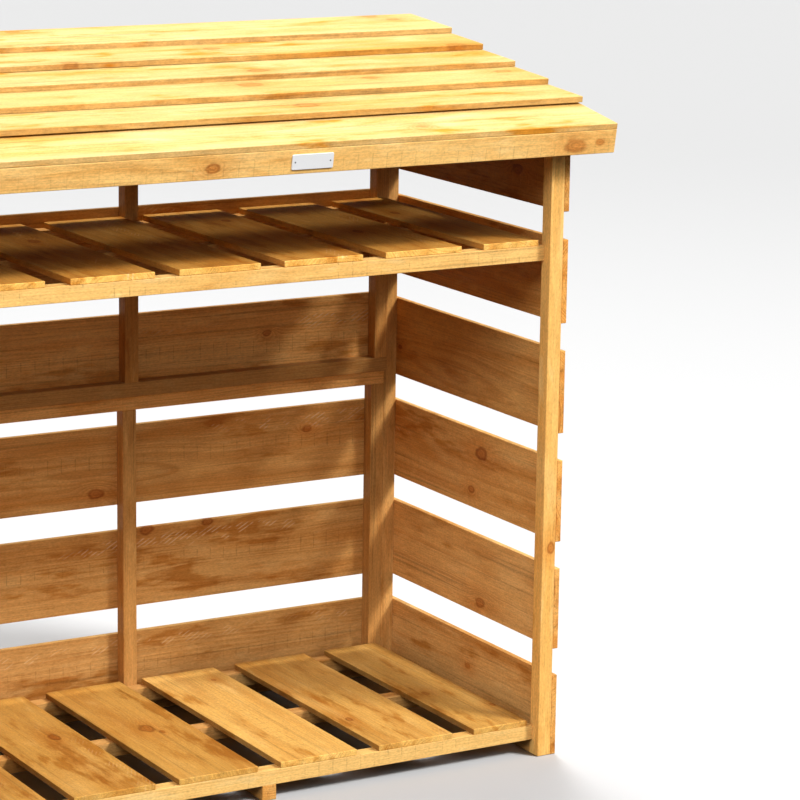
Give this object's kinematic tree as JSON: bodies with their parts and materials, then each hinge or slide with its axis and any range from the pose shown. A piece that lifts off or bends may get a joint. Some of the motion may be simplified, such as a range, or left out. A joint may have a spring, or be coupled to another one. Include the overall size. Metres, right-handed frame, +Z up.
{
  "type": "log store",
  "caption": "Open-fronted timber log store with slatted sides and back, slatted floor, a slatted kindling shelf and a lapped board roof that slopes to the front.",
  "frame": {"origin": "middle of the overall footprint, on the ground", "axes": "+Z up; -Y towards the open front and the low edge of the roof; X along the width"},
  "size_m": [1.32, 0.7428, 1.3172],
  "materials": {
    "framing": "planed softwood framing, honey coloured",
    "slats": "planed softwood slats, honey coloured",
    "deck": "planed softwood boards, honey coloured",
    "roof": "planed softwood roof boards, pale honey",
    "plate": "blank white plate"
  },
  "bodies": {
    "root": {"right_front_post": "framing", "right_back_post": "framing", "right_bottom_rail": "framing", "right_rafter": "framing", "left_front_post": "framing", "left_back_post": "framing", "left_bottom_rail": "framing", "left_rafter": "framing", "lower_back_right_upright": "framing", "lower_back_centre_upright": "framing", "lower_back_left_upright": "framing", "lower_back_bottom_rail": "framing", "lower_back_top_rail": "framing", "upper_back_right_upright": "framing", "upper_back_centre_upright": "framing", "upper_back_left_upright": "framing", "upper_back_bottom_rail": "framing", "upper_back_top_rail": "framing", "floor_front_rail": "framing", "floor_middle_rail": "framing", "floor_back_rail": "framing", "floor_runner": "framing", "shelf_front_rail": "framing", "shelf_middle_rail": "framing", "shelf_back_rail": "framing", "roof_fascia": "framing", "roof_back_rail": "framing", "roof_centre_rafter": "framing", "right_side_slats": "slats", "left_side_slats": "slats", "lower_back_slats": "slats", "upper_back_slats": "slats", "floor_boards": "deck", "shelf_boards": "deck", "roof_board_1": "roof", "roof_board_2": "roof", "roof_board_3": "roof", "roof_board_4": "roof", "roof_board_5": "roof", "roof_board_6": "roof", "blank_plate": "plate"}
  },
  "joints": []
}
